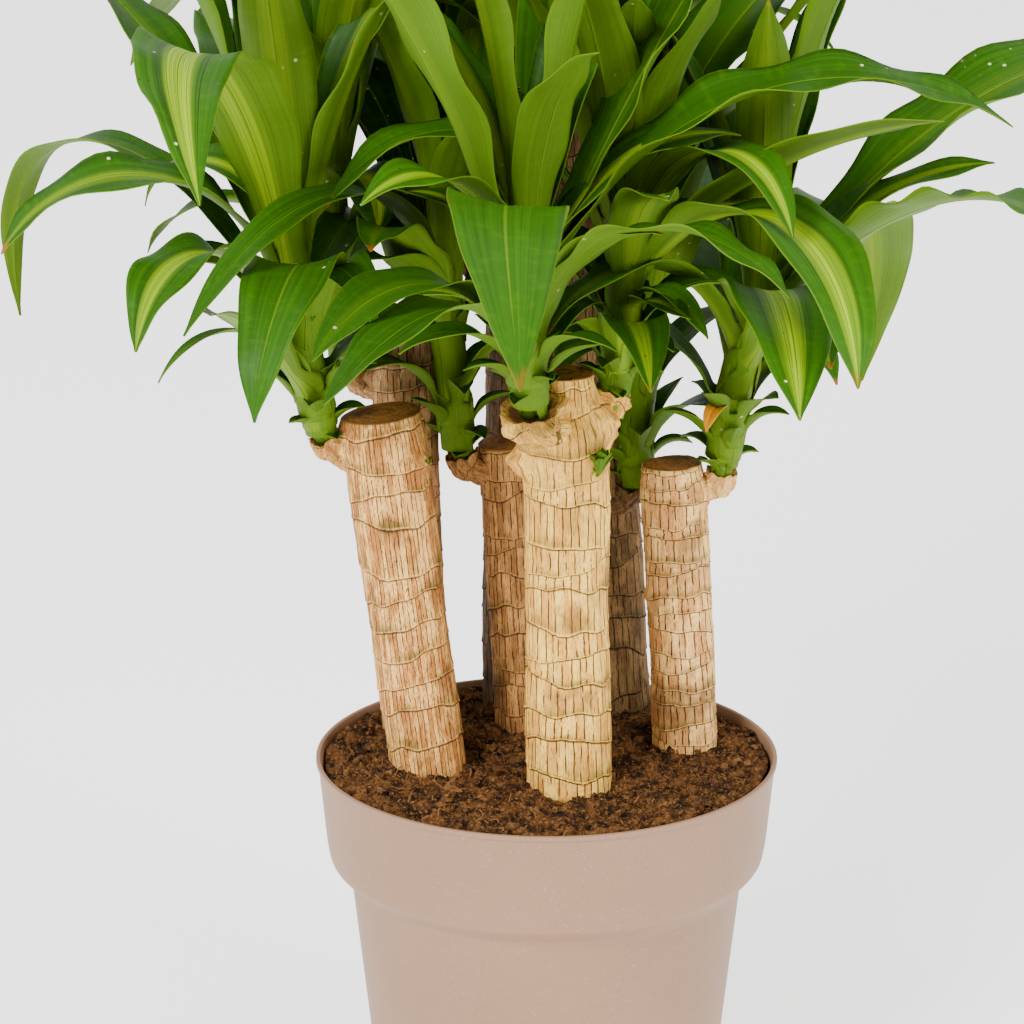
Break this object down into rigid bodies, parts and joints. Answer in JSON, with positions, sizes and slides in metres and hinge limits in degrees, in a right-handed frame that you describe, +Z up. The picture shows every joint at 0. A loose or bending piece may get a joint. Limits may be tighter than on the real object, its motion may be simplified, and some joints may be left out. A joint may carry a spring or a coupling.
{
  "type": "potted corn plant",
  "caption": "Potted corn plant: cut upright canes in a tapered, collared nursery pot of soil, with arching strap leaves on side shoots near the cane tops.",
  "frame": {"origin": "centre of the pot's underside, on the pad it stands on", "axes": "+Z up through the pot's axis, -Y towards the front of the plant, +X to the plant's right as seen from the front"},
  "size_m": [1.0032, 1.0533, 1.2459],
  "materials": {
    "pot_plastic": "matte taupe with fine pale flecks",
    "soil": "rough dark brown crumbly compost",
    "bark": "dry pale ochre bark with rings and dark cracks",
    "stem": "satin yellow green",
    "leaf": "satin green with yellow green stripes"
  },
  "bodies": {
    "root": {"pot": "pot_plastic", "soil": "soil", "cane_front": "bark", "cane_left": "bark", "cane_right": "bark", "cane_middle": "bark", "cane_back": "bark", "cane_tall": "bark", "cane_rear_left": "bark", "stem_front_left": "stem", "stem_front_right": "stem", "stem_left": "stem", "stem_rear_left": "stem", "stem_middle": "stem", "stem_right": "stem", "stem_low": "stem", "stem_back_left": "stem", "stem_back_right": "stem", "stem_top_left": "stem", "stem_top_right": "stem", "leaf_front_left_1": "leaf", "leaf_front_left_2": "leaf", "leaf_front_left_3": "leaf", "leaf_front_left_4": "leaf", "leaf_front_left_5": "leaf", "leaf_front_left_6": "leaf", "leaf_front_left_7": "leaf", "leaf_front_left_8": "leaf", "leaf_front_right_1": "leaf", "leaf_front_right_2": "leaf", "leaf_front_right_3": "leaf", "leaf_front_right_4": "leaf", "leaf_front_right_5": "leaf", "leaf_left_1": "leaf", "leaf_left_2": "leaf", "leaf_left_3": "leaf", "leaf_left_4": "leaf", "leaf_left_5": "leaf", "leaf_left_6": "leaf", "leaf_left_7": "leaf", "leaf_rear_left_1": "leaf", "leaf_middle_1": "leaf", "leaf_middle_2": "leaf", "leaf_middle_3": "leaf", "leaf_middle_4": "leaf", "leaf_right_1": "leaf", "leaf_right_2": "leaf", "leaf_right_3": "leaf", "leaf_right_4": "leaf", "leaf_right_5": "leaf", "leaf_right_6": "leaf", "leaf_back_left_1": "leaf", "leaf_back_right_1": "leaf", "leaf_back_right_2": "leaf", "leaf_top_left_1": "leaf", "leaf_top_left_2": "leaf", "leaf_top_left_3": "leaf", "leaf_top_right_1": "leaf", "leaf_top_right_2": "leaf", "leaf_top_right_3": "leaf"}
  },
  "joints": []
}
